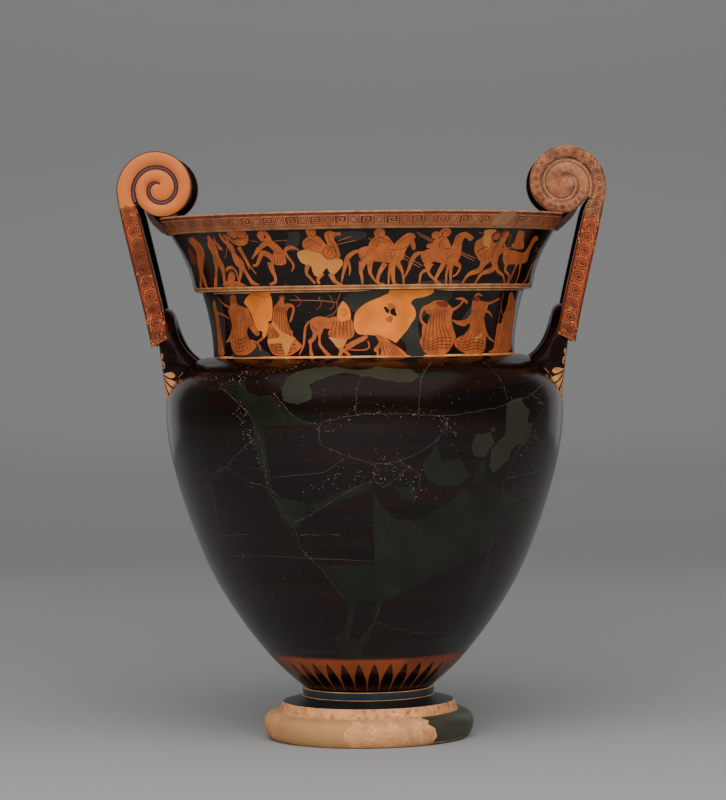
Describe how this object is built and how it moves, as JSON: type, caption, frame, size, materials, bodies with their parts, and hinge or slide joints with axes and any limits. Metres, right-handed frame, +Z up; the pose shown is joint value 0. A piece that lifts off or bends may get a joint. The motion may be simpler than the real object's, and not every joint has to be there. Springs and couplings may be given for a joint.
{
  "type": "greek volute krater",
  "caption": "Tall two-handled clay mixing bowl with a flaring two-register neck, flanged handles rolled into volutes and a stepped foot.",
  "frame": {"origin": "middle of the foot's underside", "axes": "+Z up along the pot's axis, the handles at +X and -X, the front facing -Y"},
  "size_m": [0.4648, 0.395, 0.5655],
  "materials": {
    "glazed_clay": "glossy black slip over orange clay, worn"
  },
  "bodies": {
    "root": {"krater": "glazed_clay"}
  },
  "joints": []
}
